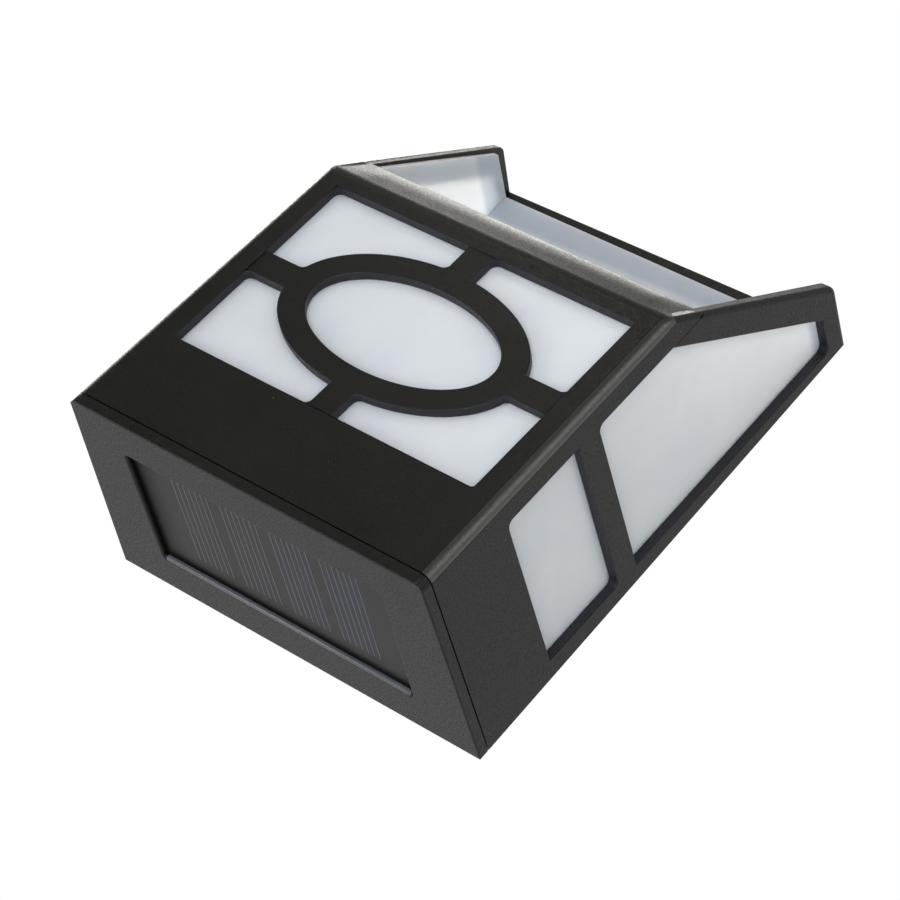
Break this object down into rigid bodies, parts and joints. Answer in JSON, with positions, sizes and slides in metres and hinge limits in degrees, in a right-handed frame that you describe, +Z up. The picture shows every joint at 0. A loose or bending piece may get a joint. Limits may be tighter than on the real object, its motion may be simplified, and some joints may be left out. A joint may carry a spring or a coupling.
{
  "type": "solar fence light",
  "caption": "Solar fence light: black fretwork housing with a milky diffuser, open slanted mouth and a solar cap.",
  "frame": {"origin": "centre of the keyhole's round entry, in the back plane that lies against the wall", "axes": "+Z up as it hangs, -Y out of the wall towards the front, +X to the right seen from the front"},
  "size_m": [0.09, 0.048, 0.115],
  "materials": {
    "black_housing": "fine satin, moulded",
    "milky_diffuser": "translucent, smooth",
    "black_cap": "fine satin, moulded",
    "foam_tape": "matte",
    "clear_resin": "clear, slightly hazy",
    "silicon_cells": "dark with fine silver lines",
    "panel_laminate": "satin",
    "white_tray": "satin",
    "white_reflector": "gloss",
    "green_laminate": "gloss solder mask",
    "black_epoxy": "matte",
    "green_coil": "gloss lacquer",
    "blue_sleeve": "gloss",
    "clear_led": "clear",
    "green_wrap": "shrink film",
    "spring_steel": "nickel plated",
    "nickel_plate": "nickel plated",
    "switch_steel": "tin plated",
    "black_slider": "matte",
    "zinc_screws": "zinc plated",
    "red_wire": "soft insulation",
    "black_wire": "soft insulation"
  },
  "bodies": {
    "lamp": {"housing_shell": "black_housing", "diffuser_sleeve": "milky_diffuser", "solar_cap": "black_cap", "panel_tape": "foam_tape", "panel_resin": "clear_resin", "solar_cells": "silicon_cells", "panel_board": "panel_laminate", "head_tray": "white_tray", "reflector_plate": "white_reflector", "circuit_board": "green_laminate", "control_chip": "black_epoxy", "charge_coil": "green_coil", "buffer_capacitor": "blue_sleeve", "leds": "clear_led", "battery_cell": "green_wrap", "battery_spring": "spring_steel", "battery_plates": "nickel_plate", "switch_case": "switch_steel", "cap_screws": "zinc_screws", "tray_screws": "zinc_screws", "board_screws": "zinc_screws", "solar_leads": "red_wire", "battery_leads": "black_wire", "switch_leads": "red_wire"},
    "slider": {"switch_slider": "black_slider"}
  },
  "joints": [
    {"name": "switch_travel", "type": "slide", "parent": "lamp", "child": "slider", "axis": [1, 0, 0], "range_m": [0, 0.002]}
  ]
}
